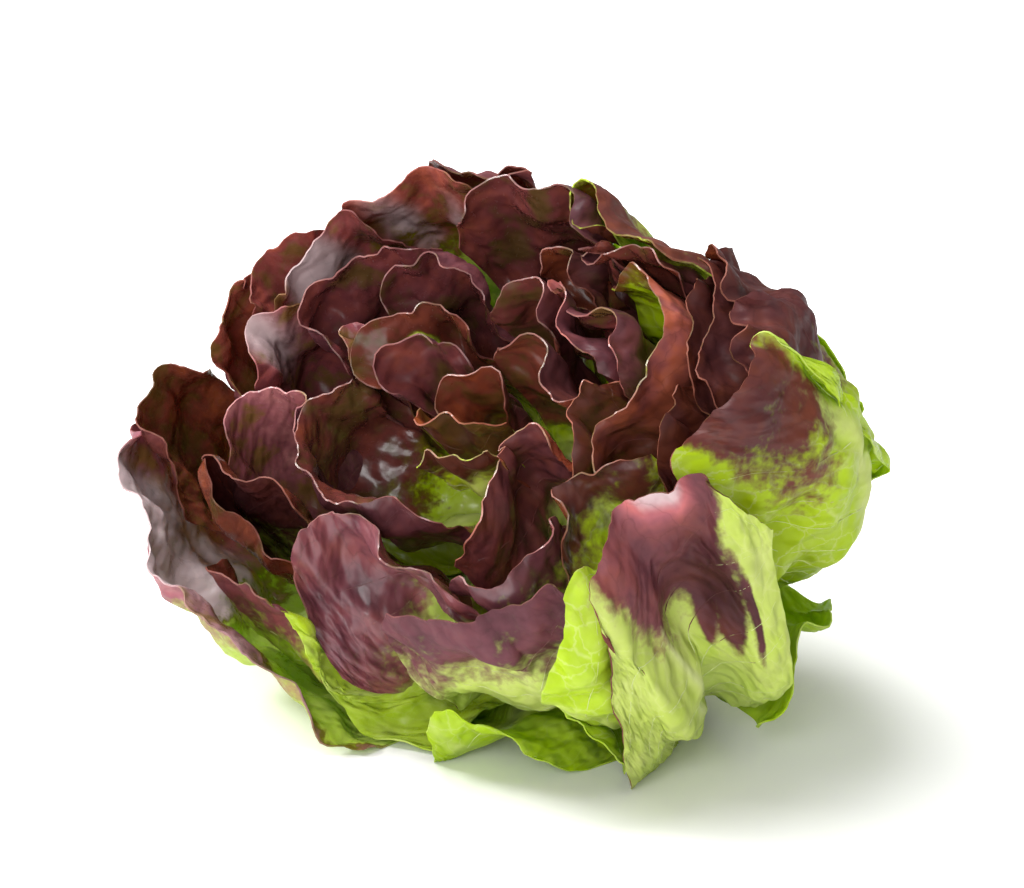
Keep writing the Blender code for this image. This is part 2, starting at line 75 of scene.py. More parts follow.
# One entry for each leaf, in the order in which they lie over one another from the heart outwards. edge is
# the top edge, as (degrees round the axis, radius in mm, rise), with no rise where it is 1, the head's rim.
# wave and belly bend the blade in and out, in mm, and foot is the (middle, half width) in degrees of a
# leaf that narrows to its root. The rest is colour, with Out and In for the outer and the inner face:
# red is the rise above which the face is red, and lean tilts that line across the leaf; light is how
# bright the red is, and where it is high the red turns into a painted pale grey sheen; tone runs from
# purple (0) to olive brown (1); paleness is the least paleness of the green, and ribPale how much the
# rib's paleness fades towards the rim. Each spot is (across from -1 to 1, up from 0 to 1, width, height,
# amount): spots add red, or green below 0, and bright multiplies the light by 1 + amount, so that above 0
# it paints a highlight, a grey sheen where it is strong, and below 0 it makes the red darker. A leaf may
# also have its own sizes for its ring's folds, pleats and so on.
leafPlan = {
    "heart_leaf_1": {
        "edge": [(110, 7, 0.8), (160, 9, 0.9), (215, 9, 0.92), (260, 9, 0.9), (300, 8, 0.8)],
        "tone": 0.6},
    "heart_leaf_2": {
        "edge": [(290, 15, 0.88), (330, 14), (10, 12), (50, 13), (85, 14, 0.88)],
        "tone": 0.9, "lightIn": 1.5},
    "heart_leaf_3": {"edge": [(275, 28, 0.9), (262, 31), (245, 28), (228, 20), (205, 14, 0.9)], "tone": 0.1},
    "heart_leaf_4": {
        "edge": [(345, 24, 0.88), (5, 24), (25, 24), (45, 27), (62, 30)],
        "tone": 1, "redIn": 0.95, "redOut": 0.8},
    "heart_leaf_5": {
        "edge": [(165, 16, 0.9), (148, 22), (132, 29), (118, 34), (105, 40), (100, 45), (106, 49, 0.94)],
        "tone": 0.5},
    "heart_leaf_6": {"edge": [(196, 34, 0.92), (182, 39), (168, 41), (155, 38), (142, 30, 0.9)], "tone": 0.3},
    "inner_leaf_1": {
        "edge": [(272, 42, 0.92), (256, 46), (241, 42), (226, 36), (210, 28, 0.92)],
        "tone": 0.5, "spotsIn": [(0, 0.88, 0.28, 0.07, -5)]},
    "inner_leaf_2": {
        "edge": [(266, 40, 0.9), (282, 52), (294, 60), (308, 60), (324, 54), (342, 46), (0, 42),
                 (18, 38, 0.92)],
        "tone": 0.3},
    "inner_leaf_3": {
        "edge": [(168, 26, 0.9), (157, 34), (150, 39), (137, 44), (125, 48), (116, 47, 0.94)],
        "tone": 0.2, "lightIn": 2.2},
    "inner_leaf_4": {
        "edge": [(28, 62, 0.92), (36, 54), (48, 42), (62, 32), (78, 37), (84, 45), (80, 54, 0.9)],
        "tone": 0.6, "lightIn": 1.7, "lightOut": 0.8},
    "inner_leaf_5": {
        "edge": [(112, 54, 0.92), (106, 54), (102, 51), (92, 50), (82, 51, 0.98), (74, 53, 0.9)],
        "tone": 0.8, "lightIn": 1.6},
    "inner_leaf_6": {
        "edge": [(150, 42, 0.92), (143, 48), (135, 54), (126, 59), (116, 60), (108, 59, 0.92)],
        "tone": 0.2, "lightIn": 1.8},
    "inner_leaf_7": {
        "edge": [(272, 50, 0.9), (264, 58), (257, 56), (248, 52, 0.94)],
        "tone": 0, "lightIn": 2.2},
    "inner_leaf_8": {
        "edge": [(244, 56, 0.92), (234, 62), (223, 58), (213, 50), (204, 42, 0.92)],
        "tone": 0.1},
    "inner_leaf_9": {
        "edge": [(26, 68, 0.88), (33, 72), (41, 76), (48, 78), (56, 77), (61, 70), (64, 66, 0.92)],
        "tone": 0.2, "redOut": 0.84, "lightIn": 1.4},
    "inner_leaf_10": {
        "edge": [(174, 46, 0.9), (168, 53), (163, 59), (158, 58, 0.98), (152, 52, 0.9)],
        "tone": 0.6},
    "inner_leaf_11": {
        "edge": [(150, 58, 0.92), (140, 69), (132, 76), (125, 78), (114, 75), (100, 68), (88, 62),
                 (74, 58, 0.92)],
        "tone": 0.9, "redIn": 0.9, "curl": 4 * mm, "brightOut": [(0.3, 0.98, 0.9, 0.06, 4)]},
    "inner_leaf_12": {
        "edge": [(56, 66, 0.9), (64, 63), (74, 67), (83, 73), (91, 76, 0.93)],
        "tone": 0.8, "redIn": 0.85, "redOut": 0.85},
    "inner_leaf_13": {
        "edge": [(302, 58, 0.9), (287, 60), (284, 72), (286, 84), (292, 94), (302, 96, 0.88)],
        "wave": 1, "tone": 0, "lightIn": 3, "folds": 0.3 * mm, "pleats": 0.2 * mm, "blister": 0.8 * mm},
    "inner_leaf_14": {
        "edge": [(270, 66, 0.9), (261, 75), (251, 79), (242, 76), (232, 66), (222, 58, 0.93)],
        "tone": 0.1},
    "inner_leaf_15": {
        "edge": [(346.5, 97, 0.8), (341, 88, 0.9), (334, 73), (332, 64), (338, 54), (350, 50), (1, 52),
                 (9, 59), (21, 62), (31, 70), (38, 80, 0.92)],
        "belly": 3, "wave": 1, "foot": (18, 14), "tone": 0.2, "redOut": 0.62, "lightOut": 0.9,
        "paleness": 0.4, "pleats": 2.2 * mm, "spotsOut": [(0.1, 0.62, 0.5, 0.08, -3)],
        "brightOut": [(0, 0.8, 0.12, 0.1, -0.5), (-0.45, 0.76, 0.1, 0.1, -0.45)]},
    "inner_leaf_16": {
        "edge": [(214, 62, 0.92), (207, 67), (202, 74), (194, 75), (184, 74), (176, 73), (167, 68),
                 (158, 63, 0.92)],
        "tone": 0.2},
    "inner_leaf_17": {
        "edge": [(150, 50, 0.9), (154, 56), (158, 61), (156, 67), (152, 71), (146, 77), (139, 82),
                 (133, 82, 0.92)],
        "tone": 0.4},
    "outer_leaf_1": {
        "edge": [(326, 62, 0.92), (314, 69), (303, 86), (297, 101), (302, 100), (314, 92, 0.95),
                 (328, 86, 0.9)],
        "wave": 1, "tone": 0.6, "lightOut": 0.35},
    "outer_leaf_2": {
        "edge": [(284, 82, 0.92), (277, 91), (269, 95), (261, 90), (254, 84, 0.92)],
        "tone": 0.1, "lightIn": 1.3, "curl": 3.5 * mm, "brightIn": [(0, 0.95, 0.5, 0.12, 3)]},
    "outer_leaf_3": {
        "edge": [(84, 82, 0.92), (93, 83), (99, 88), (104, 86), (110, 84, 0.92)],
        "tone": 0.9, "lightOut": 0.5},
    "outer_leaf_4": {
        "edge": [(136, 84, 0.93), (127, 87), (118, 89), (109, 88), (100, 86, 0.93)],
        "tone": 0.8, "lightOut": 0.45},
    "outer_leaf_5": {
        "edge": [(268, 84, 0.92), (259, 90), (251, 98), (243, 98), (237, 94), (231, 86, 0.92)],
        "tone": 0.2, "redIn": 0.8, "brightIn": [(0.2, 0.9, 0.45, 0.18, 6.5)]},
    "outer_leaf_6": {
        "edge": [(160, 64, 0.9), (166, 69), (172, 76), (174, 82), (168, 79), (160, 77), (150, 78),
                 (141, 81), (133, 83, 0.92)],
        "wave": 0.5, "tone": 0.9, "redIn": 0.95, "redOut": 0.82},
    "outer_leaf_7": {
        "edge": [(312, 112, 0.88), (322, 102, 0.98), (334, 92), (343, 88), (345, 93, 0.95),
                 (346, 98, 0.88), (347, 104, 0.79), (351, 107, 0.74), (359, 107, 0.7), (7, 105, 0.68)],
        "wave": 0.5, "foot": (352, 16), "tone": 0.5, "redOut": 0.8, "redIn": 0.72,
        "spotsIn": [(0.5, 0.7, 0.7, 0.5, -9)], "spotsOut": [(0.7, 0.8, 0.5, 0.5, -6)]},
    "outer_leaf_9": {
        "edge": [(246, 92, 0.92), (238, 97), (230, 101), (224, 97), (217, 91), (210, 86),
                 (204, 80, 0.92)],
        "tone": 0.4, "redIn": 0.76, "lightIn": 1.9,
        "brightIn": [(0.35, 0.9, 0.25, 0.12, 2), (-0.3, 0.85, 0.15, 0.1, 1.5)]},
    "outer_leaf_8": {
        "edge": [(223, 91, 0.92), (217, 94), (210, 90), (203, 88), (197, 85), (192, 77), (188, 72, 0.92)],
        "tone": 0.4, "redIn": 0.84},
    "outer_leaf_10": {
        "edge": [(140, 86, 0.92), (132, 92), (124, 98), (115, 97), (107, 95), (98, 94, 0.93)],
        "tone": 0.7, "lightOut": 0.5},
    "outer_leaf_11": {
        "edge": [(8, 90, 0.8), (9, 86, 0.92), (14, 83), (21, 82), (31, 85), (37, 91), (42, 89), (49, 91),
                 (55, 96), (58, 102, 0.86)],
        "wave": 0.5, "foot": (36, 12), "tone": 0, "redOut": 0.8, "lightOut": 0.58, "paleness": 0.6,
        "ribPale": 0.3},
    "outer_leaf_12": {
        "edge": [(270, 94, 0.92), (263, 102), (255, 108), (247, 108), (240, 102, 0.92)],
        "tone": 0.3, "lightIn": 1.8},
    "outer_leaf_13": {
        "edge": [(280, 106, 0.92), (274, 113), (267, 113), (260, 106), (254, 102, 0.92)],
        "tone": 0.5, "lightIn": 1.8},
    "outer_leaf_14": {
        "edge": [(39, 114, 0.57), (39, 106, 0.64), (39, 101, 0.72), (40.5, 99, 0.8), (43, 103, 0.88),
                 (53, 100, 0.97), (61, 93), (66, 98, 0.92)],
        "wave": 0.5, "foot": (47, 8), "tone": 0.4, "redOut": 1.03, "redIn": 1, "paleness": 0.1},
    "outer_leaf_15": {
        "edge": [(140, 86, 0.92), (134, 95), (129, 101), (123, 102), (117, 100, 0.92)],
        "tone": 0.7, "lightOut": 0.55},
    "outer_leaf_17": {
        "edge": [(128, 99, 0.92), (121, 104), (116, 109), (111, 108), (104, 103, 0.92)],
        "belly": -1, "tone": 0.6, "lightOut": 0.6},
    "outer_leaf_18": {
        "edge": [(300, 118, 0.9), (292, 124), (284, 131), (278, 128), (275, 115, 0.94)],
        "tone": 0.6},
    "outer_leaf_19": {
        "edge": [(84, 106, 0.86), (86, 98), (93, 100), (99, 99), (105, 101), (110, 104), (112, 109),
                 (113, 112, 0.99), (112, 114, 0.95), (110, 116, 0.89)],
        "belly": -6, "wave": 0.5, "tone": 0.8, "redOut": 0.84, "lean": 0.2, "curl": 1.2 * mm,
        "paleness": 0.05, "ribPale": 0.3,
        "spotsOut": [(-0.88, 0.93, 0.25, 0.14, -7), (0.75, 0.75, 0.3, 0.25, -4)],
        "spotsIn": [(0.8, 0.9, 0.5, 0.5, -12)], "brightOut": [(-0.2, 0.95, 0.5, 0.2, -0.3)]},
    "outer_leaf_16": {
        "edge": [(41, 117, 0.57), (45, 116, 0.68), (50, 113, 0.8), (56, 108, 0.92), (60, 104), (64, 98),
                 (70, 91), (77, 83), (83, 84), (86, 90), (86.5, 102, 0.98), (87, 110, 0.92),
                 (87.5, 113, 0.86)],
        "belly": 8, "wave": 0.5, "foot": (53, 6), "tone": 0.4, "redOut": 0.84, "folds": 1.6 * mm,
        "pleats": 0.5 * mm, "curl": 1.4 * mm, "ruffle": 0.8 * mm, "paleness": 0.55, "ribPale": 0.2,
        "spotsOut": [(0.95, 0.92, 0.2, 0.16, -5), (-0.6, 0.95, 0.35, 0.3, -3), (0.25, 0.9, 0.35, 0.12, 3),
                     (0.4, 0.77, 0.07, 0.12, 3), (0.56, 0.76, 0.06, 0.12, 3),
                     (0.71, 0.77, 0.05, 0.11, 3)],
        "brightOut": [(0.3, 1, 0.12, 0.03, 6), (0.55, 0.8, 0.35, 0.14, -0.68)]},
    "outer_leaf_20": {
        "edge": [(283, 121, 0.93), (290, 129), (296, 132), (302, 128), (308, 125), (314, 125), (320, 118),
                 (328, 111), (335, 109, 0.98), (342, 110, 0.92), (349, 111, 0.83), (356, 111, 0.76)],
        "belly": -2, "wave": 0.5, "tone": 0, "redOut": 0.84, "lightOut": 1.3, "paleness": 0.4,
        "spotsIn": [(0.55, 0.55, 0.55, 0.32, -9)],
        "brightIn": [(-0.38, 0.9, 0.3, 0.22, 12), (0.6, 1, 0.7, 0.2, 3)]},
    "base_leaf_1": {
        "edge": [(240, 98, 0.62), (224, 92, 0.76), (208, 86, 0.8), (192, 84, 0.76), (176, 82, 0.62)]},
    "base_leaf_2": {
        "edge": [(186, 80, 0.6), (170, 80, 0.74), (154, 82, 0.78), (140, 88, 0.74), (126, 96, 0.6)]},
    "base_leaf_3": {
        "edge": [(278, 112, 0.58), (264, 110, 0.72), (250, 106, 0.76), (236, 102, 0.72), (222, 98, 0.58)]},
    "base_leaf_4": {
        "edge": [(62, 96, 0.42), (68, 96, 0.48), (73, 96, 0.51), (77, 96, 0.52), (81, 100, 0.53),
                 (84, 107, 0.52), (88, 96, 0.46), (92, 92, 0.4)],
        "redOut": 1.3, "redIn": 1.3},
    "base_leaf_5": {
        "edge": [(318, 92, 0.24), (334, 96, 0.32), (350, 98, 0.45), (5, 96, 0.66), (12, 91, 0.79),
                 (20, 95, 0.8), (26, 100, 0.74), (30, 108, 0.62), (36, 108, 0.45)],
        "redOut": 1.3, "redIn": 1.3},
}

# What the leaves of one ring have in common, unless a leaf says otherwise.
ringLook = {
    "heart": {
        "slot": "heart leaf", "redOut": 0.35, "redIn": 0.45, "tone": 0.5, "lightIn": 1, "lightOut": 0.45,
        "paleness": 0, "spacing": 1.5 * mm, "sideVeins": 5, "blister": 1.8 * mm, "ruffle": 1 * mm,
        "scallop": 0.5 * mm, "folds": 2.2 * mm, "pleats": 0.6 * mm, "curl": 2.2 * mm},
    "inner": {
        "slot": "inner leaf", "redOut": 0.55, "redIn": 0.52, "tone": 0.4, "lightIn": 1, "lightOut": 0.5,
        "paleness": 0, "spacing": 1.6 * mm, "sideVeins": 6, "blister": 2.6 * mm, "ruffle": 1.2 * mm,
        "scallop": 0.7 * mm, "folds": 3.2 * mm, "pleats": 1 * mm, "curl": 3 * mm},
    "outer": {
        "slot": "outer leaf", "redOut": 0.72, "redIn": 0.58, "tone": 0.4, "lightIn": 1, "lightOut": 0.95,
        "paleness": 0.2, "spacing": 1.8 * mm, "sideVeins": 7, "blister": 2.1 * mm, "ruffle": 1.2 * mm,
        "scallop": 0.8 * mm, "folds": 2.6 * mm, "pleats": 1 * mm, "curl": 2.2 * mm},
    "base": {
        "slot": "base leaf", "redOut": 0.95, "redIn": 0.9, "tone": 0.6, "lightIn": 1, "lightOut": 1,
        "paleness": 0.1, "spacing": 2 * mm, "sideVeins": 7, "blister": 1.2 * mm, "ruffle": 1.4 * mm,
        "scallop": 1.2 * mm, "folds": 1.2 * mm, "pleats": 0.8 * mm, "curl": 1.6 * mm},
}
# Sizes that all leaves share, and the wave lengths of what bends them: along the rim, or for pleats in
# half widths of the leaf. The pairs in fadeIn are where an effect starts and is whole, from root to rim.
leafBuild = {
    "blade": 0.55 * mm, "rib": 2.6 * mm, "ribHalfWidth": 3.4 * mm, "ribNarrows": 0.65,
    "blisterSize": 10 * mm, "blisterDetail": 1.5, "blisterGain": 2.4, "veinWidth": 0.8 * mm,
    "cellsAcross": (24, 96), "cellsAlong": (24, 72), "cellStretch": 1.25, "cellCrowding": 0.8,
    "clearHeight": 7 * mm,  # above the table, where a leaf is free to bend
    "foldWaves": [length * mm for length in (58, 47, 39, 33, 28, 24)], "foldSeed": 11, "foldCalm": 2.2,
    "pleatWaves": (0.9, 0.55, 0.37),
    "ruffleWaves": (21 * mm, 13 * mm, 34 * mm),
    "curlWaves": (48 * mm, 27 * mm), "curlOut": 0.45,
    "scallopWaves": (6.1 * mm, 9.7 * mm, 15 * mm), "notchWaves": (8.3 * mm,),
    "turnBand": 0.13,  # rise over which green turns red
    "paleBeside": 3.5, "calmBeside": 2.2,  # half widths of the rib: where it is pale, and has few blisters
    "fadeIn": {"folds": (0.1, 0.6), "pleats": (0.15, 0.45), "ruffle": (0.72, 1.0), "curl": (0.8, 1.0),
               "scallop": (0.85, 1.0), "relief": (0.12, 0.37), "paleRoot": (0.0, 0.45)},
}
# The side veins, in the leaf's own map: 1 wide with the rib at 0.5, and 1 long.
veinLook = {
    "points": 26, "sides": 6, "reach": 0.47, "spread": 0.82, "bow": 1.15, "last": 0.985,
    "firstStart": 0.26, "startRange": 0.60, "startJitter": 0.012,
    "climb": 0.34, "climbLoss": 0.16, "climbJitter": 0.03,
    "taper": 0.8, "upperThinner": 0.25, "sunk": 0.35,
}
faceSide = {"inner": 0.0, "edge": 0.5, "outer": 1.0}


def smoothStep(x):
    x = np.clip(x, 0.0, 1.0)
    return x * x * (3 - 2 * x)


def alongProfile(points, t):
    # a cubic through its end points; past 1 it runs straight on
    p = np.array(points)
    inside = np.clip(t, 0.0, 1.0)[..., None]
    rest = 1 - inside
    curve = rest**3 * p[0] + 3 * rest**2 * inside * p[1] + 3 * rest * inside**2 * p[2] + inside**3 * p[3]
    return curve + np.clip(t - 1, 0.0, None)[..., None] * 3 * (p[3] - p[2])


def headMatrix():
    down = Vector((0, 0, -1))
    axis = headShape["axis"]
    sideDown = (down - axis * down.dot(axis)).normalized()
    turned = Matrix((sideDown, axis.cross(sideDown), axis)).transposed()
    return Matrix.Translation(headShape["base"]) @ turned.to_4x4()


def outsideShell(turn, rise):
    azimuth, share = zip(*headShape["sides"])
    spread = np.mean([np.interp(np.degrees(turn) + lag, azimuth, share, period=360)
                      for lag in headShape["sideLags"]], axis=0)
    profile = alongProfile(headShape["outerProfile"], rise)
    hang = np.clip(np.cos(turn), 0, 1) ** 2 * np.sin(math.pi * np.clip(rise / 0.42, 0, 1))
    sag = headShape["sag"] * hang
    radius = profile[..., 0] * (1 + (spread - 1) * smoothStep(rise * 3)) + sag
    return np.stack([radius, profile[..., 1] - 0.8 * sag], axis=-1)


def placeInHead(shell, turn, rise):
    heart = alongProfile(headShape["heartProfile"], rise)
    profile = heart + np.asarray(shell)[..., None] * (outsideShell(turn, rise) - heart)
    radius, height = profile[..., 0], profile[..., 1]
    return np.stack([radius * np.cos(turn), radius * np.sin(turn), height], axis=-1)


def leafGap(rise):
    wide = alongProfile(headShape["outerProfile"], rise) - alongProfile(headShape["heartProfile"], rise)
    gap = headShape["gapAtStem"] + (headShape["gapAtRim"] - headShape["gapAtStem"]) * smoothStep(rise * 1.5)
    return gap / np.linalg.norm(wide, axis=-1)


def shifted(chart, n, axis):
    if axis == 0:
        return np.roll(chart, n, axis=0)
    rows = np.clip(np.arange(mapSize["rises"]) - n, 0, mapSize["rises"] - 1)
    return chart[:, rows]


def spotOnMap(turn, rise):
    column = turn / (2 * math.pi) * mapSize["turns"]
    row = np.clip(rise / mapSize["topRise"] * (mapSize["rises"] - 1), 0, mapSize["rises"] - 1.001)
    return column, row


def gathered(chart, how, sides, ends):
    # the mean or the greatest of the cells that lie this near, round the axis and up it
    for axis, reach in ((0, sides), (1, ends)):
        chart = how([shifted(chart, n, axis) for n in range(-reach, reach + 1)], axis=0)
    return chart


def softenedMap(chart, sides=4, ends=3):
    return gathered(gathered(chart, np.max, sides, ends), np.mean, sides, ends)


def readMap(chart, turn, rise):
    column, row = spotOnMap(turn, rise)
    c0, r0 = np.floor(column).astype(int), np.floor(row).astype(int)
    fc, fr = column - c0, row - r0
    left, right = c0 % mapSize["turns"], (c0 + 1) % mapSize["turns"]
    low = chart[left, r0] * (1 - fc) + chart[right, r0] * fc
    high = chart[left, r0 + 1] * (1 - fc) + chart[right, r0 + 1] * fc
    return low * (1 - fr) + high * fr


def throughPoints(points, u):
    p = np.array(points, dtype=float)
    p[:, 0] = np.degrees(np.unwrap(np.radians(p[:, 0])))
    p = np.vstack([2 * p[0] - p[1], p, 2 * p[-1] - p[-2]])
    placeOn = (u + 1) / 2 * (len(points) - 1)
    n = np.clip(np.floor(placeOn).astype(int), 0, len(points) - 2)
    f = (placeOn - n)[..., None]
    a, b, c, d = (p[n + k] for k in range(4))
    return 0.5 * (2 * b + (c - a) * f + (2 * a - 5 * b + 4 * c - d) * f**2 + (3 * b - a - 3 * c + d) * f**3)


def leafSpread(plan):
    across, along = np.linspace(-1, 1, mapSize["across"]), np.linspace(0, 1, mapSize["along"])
    u, v = np.meshgrid(across, along, indexing="ij")
    edge = throughPoints([(*point, 1)[:3] for point in plan["edge"]], u)
    azimuth, radius, rise = edge[..., 0], edge[..., 1] * mm, edge[..., 2]
    middle = (azimuth[0] + azimuth[-1]).mean() / 2
    half = (azimuth[-1] - azimuth[0]).mean() / 2
    root = middle + u * math.copysign(np.clip(fanShape["rootShare"] * abs(half), *fanShape["rootHalf"]), half)
    fan = smoothStep(v / fanShape["wholeAt"])
    if "foot" in plan:
        footMiddle = plan["foot"][0] + 360 * round((middle - plan["foot"][0]) / 360)
        root = footMiddle + u * math.copysign(plan["foot"][1], half)
        fan = v**2
    turn = np.radians(root * (1 - fan) + azimuth * fan)
    return u, v, turn, rise * v, radius


def wantedShell(plan, number, u, v, turn, rise, radius):
    rng = random.Random(500 + number)
    root = fanShape["firstRoot"] + (1 - fanShape["firstRoot"]) * number / (len(leafPlan) - 1)
    inner, outer = alongProfile(headShape["heartProfile"], rise)[..., 0], outsideShell(turn, rise)[..., 0]
    tip = (radius - inner[:, -1:]) / (outer[:, -1:] - inner[:, -1:])
    wave = sum(share * np.sin(math.pi * turns * u + rng.uniform(0, 2 * math.pi))
               for turns, share in fanShape["waves"])
    swing = plan.get("wave", fanShape["wave"]) * wave * smoothStep(v * 1.3 - 0.3)
    low = v * 1.25 - 0.2 if "foot" in plan else v * 2.2 - 1.2
    swing += plan.get("belly", 0) * np.sin(math.pi * np.clip(low, 0, 1))
    return root + (tip - root) * smoothStep(v * 1.2) + swing * mm / np.maximum(outer - inner, 0.03)


def between(grid, i, j):
    rows = grid[:-1] * (1 - i) + grid[1:] * i
    return rows[:, :-1] * (1 - j) + rows[:, 1:] * j


def layOutLeaves():
    # every leaf is pushed out over the leaves inside it, as in the solids
    taken = np.zeros((mapSize["turns"], mapSize["rises"]))
    laid = []
    for number, plan in enumerate(leafPlan.values()):
        u, v, turn, rise, radius = leafSpread(plan)
        wanted = wantedShell(plan, number, u, v, turn, rise, radius)
        free = readMap(softenedMap(taken), turn, rise) + leafGap(rise)
        shell = 0.5 * (wanted + free + np.sqrt((wanted - free) ** 2 + 0.02**2))
        laid.append((turn, rise, shell))
        for i in np.linspace(0, 1, 5)[:-1]:
            for j in np.linspace(0, 1, 5)[:-1]:
                t, r, s = (between(a, i, j) for a in (turn, rise, shell))
                column, row = spotOnMap(t, r)
                spot = np.round(column).astype(int) % mapSize["turns"], np.round(row).astype(int)
                np.maximum.at(taken, spot, s)
    return laid, taken


def pressedLeaves(laid, taken):
    # the shells are squeezed together where the head lies on the table
    toWorld = np.array(headMatrix())
    turns, rises = mapSize["turns"], mapSize["rises"]
    turn = np.arange(turns)[:, None] * 2 * math.pi / turns + np.zeros(rises)
    rise = np.arange(rises)[None, :] * mapSize["topRise"] / (rises - 1) + np.zeros((turns, 1))
    outermost = np.maximum(softenedMap(taken), 0.3)
    inside, outside = (placeInHead(s, turn, rise) @ toWorld[2, :3] + toWorld[2, 3]
                       for s in (0 * outermost, outermost))
    floor = headShape["restHeight"] - headShape["press"]
    room = (inside - floor) / np.maximum(inside - outside, 1e-6)
    squeeze = gathered(np.where(outside < floor, np.minimum(room, 1.0), 1.0), np.mean, 5, 3)
    return [placeInHead(s * readMap(squeeze, t, r), t, r) for t, r, s in laid]


def curveWeights(count, places):
    # rows of weights that read a smooth curve through count even points, at places from 0 to 1
    weights = np.zeros((len(places), count))
    for row, place in enumerate(places):
        n = min(int(place * (count - 1)), count - 2)
        f = place * (count - 1) - n
        four = (0.5 * (-f + 2 * f**2 - f**3), 0.5 * (2 - 5 * f**2 + 3 * f**3),
                0.5 * (f + 4 * f**2 - 3 * f**3), 0.5 * (-(f**2) + f**3))
        for k, weight in zip(range(n - 1, n + 3), four):
            if k < 0:  # the curve runs straight on past its ends
                weights[row, 0] += 2 * weight
                weights[row, 1] -= weight
            elif k >= count:
                weights[row, count - 1] += 2 * weight
                weights[row, count - 2] -= weight
            else:
                weights[row, k] += weight
    return weights


def gridNormals(p):
    across = np.gradient(p, axis=0)
    along = np.gradient(p, axis=1)
    n = np.cross(across, along)
    return n / np.maximum(np.linalg.norm(n, axis=-1, keepdims=True), 1e-12)


def lengthsAlong(p, axis):
    steps = np.linalg.norm(np.diff(p, axis=axis), axis=-1)
    first = np.zeros_like(np.take(steps, [0], axis=axis))
    return np.cumsum(np.concatenate([first, steps], axis=axis), axis=axis)


def waves(rng, s, lengths):
    # a few sine waves of these lengths, with their own starts
    total = sum(np.sin(2 * math.pi * s / length + rng.uniform(0, 2 * math.pi)) for length in lengths)
    return total / len(lengths)


def commonFolds(p):
    # slow waves that are the same for all leaves, so that neighbours bend alike
    rng = np.random.default_rng(leafBuild["foldSeed"])
    total = 0
    for length in leafBuild["foldWaves"]:
        way = rng.normal(size=3)
        way /= np.linalg.norm(way)
        total = total + np.sin(2 * math.pi * (p @ way) / length + rng.uniform(0, 2 * math.pi))
    return total / leafBuild["foldCalm"]


def fadeIn(effect, v):
    start, whole = leafBuild["fadeIn"][effect]
    return smoothStep((v - start) / (whole - start))


def finerSheet(plan, coarse, rises):
    # the coarse sheet read on a finer grid, with its outer face along the normals
    size = np.linalg.norm(np.diff(coarse, axis=0), axis=-1).sum(axis=0).max()
    length = np.linalg.norm(np.diff(coarse, axis=1), axis=-1).sum(axis=1).max()
    across = int(np.clip(size / plan["spacing"], *leafBuild["cellsAcross"])) // 2 * 2 + 1
    along = int(np.clip(length / (leafBuild["cellStretch"] * plan["spacing"]), *leafBuild["cellsAlong"]))
    u, v = np.linspace(0, 1, across), np.linspace(0, 1, along) ** leafBuild["cellCrowding"]
    overU, overV = curveWeights(mapSize["across"], u), curveWeights(mapSize["along"], v)
    p = np.einsum("ai,bj,ijk->abk", overU, overV, coarse)
    rise = overU @ rises @ overV.T
    spot = across // 2, int(along * 0.7)
    axis, base = np.array(headShape["axis"]), np.array(headShape["base"])
    outward = p[spot] - base - np.dot(p[spot] - base, axis) * axis
    if np.dot(gridNormals(p)[spot], outward) < 0:
        p, rise = p[::-1], rise[::-1]
    return p, rise, u, v


def bentSheet(plan, rng, p, u, v):
    # folds, pleats, the curled and ruffled rim and its scallops, which all fade out at the table
    build, rest, flat = leafBuild, headShape["restHeight"], headShape["flatten"]
    free = smoothStep((p[..., 2] - rest) / build["clearHeight"])
    top = lengthsAlong(p, 0)[:, -1:]
    rim = fadeIn("ruffle", v)
    curlStart = build["fadeIn"]["curl"][0]
    out = waves(rng, top, build["ruffleWaves"]) * plan["ruffle"] * rim**1.5
    out += plan["folds"] * commonFolds(p) * fadeIn("folds", v)
    out += plan["pleats"] * waves(rng, u, build["pleatWaves"]) * fadeIn("pleats", v) * (1 - 0.5 * rim)
    curl = build["curlOut"] + waves(rng, top, build["curlWaves"])
    out += plan["curl"] * curl * np.clip((v - curlStart) / (1 - curlStart), 0, 1) ** 2
    upward = np.gradient(p, axis=1)
    upward = upward / np.maximum(np.linalg.norm(upward, axis=-1, keepdims=True), 1e-12)
    notch = waves(rng, top, build["scallopWaves"]) - 0.5 * np.abs(waves(rng, top, build["notchWaves"]))
    scallop = notch * plan["scallop"] * fadeIn("scallop", v)
    p = p + gridNormals(p) * (out * free)[..., None] + upward * (scallop * free)[..., None]
    above = p[..., 2] - rest
    p[..., 2] = rest + np.maximum(0, above - flat * np.exp(-((above / (4 * flat)) ** 2)))
    return p, free


def spotShares(spots, u, v):
    return [amount * np.exp(-(((u - across) / wide) ** 2) - ((v - up) / high) ** 2)
            for across, up, wide, high, amount in spots]


def sheetColours(plan, rise, u, v, fromRib):
    # tint holds the redness of both faces and the paleness, mood the tone and how bright both faces are
    red, light = {}, {}
    for face in ("Out", "In"):
        red[face] = (rise - plan["red" + face] - plan.get("lean", 0) * u) / leafBuild["turnBand"]
        red[face] = red[face] + sum(spotShares(plan.get("spots" + face, []), u, v))
        light[face] = plan["light" + face] + 0 * u
        # bright spots: above 0 a painted highlight, a grey sheen where strong; below 0 a darker red
        for gain in spotShares(plan.get("bright" + face, []), u, v):
            light[face] = light[face] * (1 + gain)
    pale = np.exp(-((fromRib / leafBuild["paleBeside"]) ** 2)) * (1 - plan.get("ribPale", 0.6) * v)
    pale = np.maximum(pale + 0.9 * (1 - fadeIn("paleRoot", v)), plan["paleness"])
    tint = np.stack([red["Out"], red["In"], np.clip(pale, 0, 1)], axis=-1)
    return tint, np.stack([plan["tone"] + 0 * u, light["In"], light["Out"]], axis=-1)


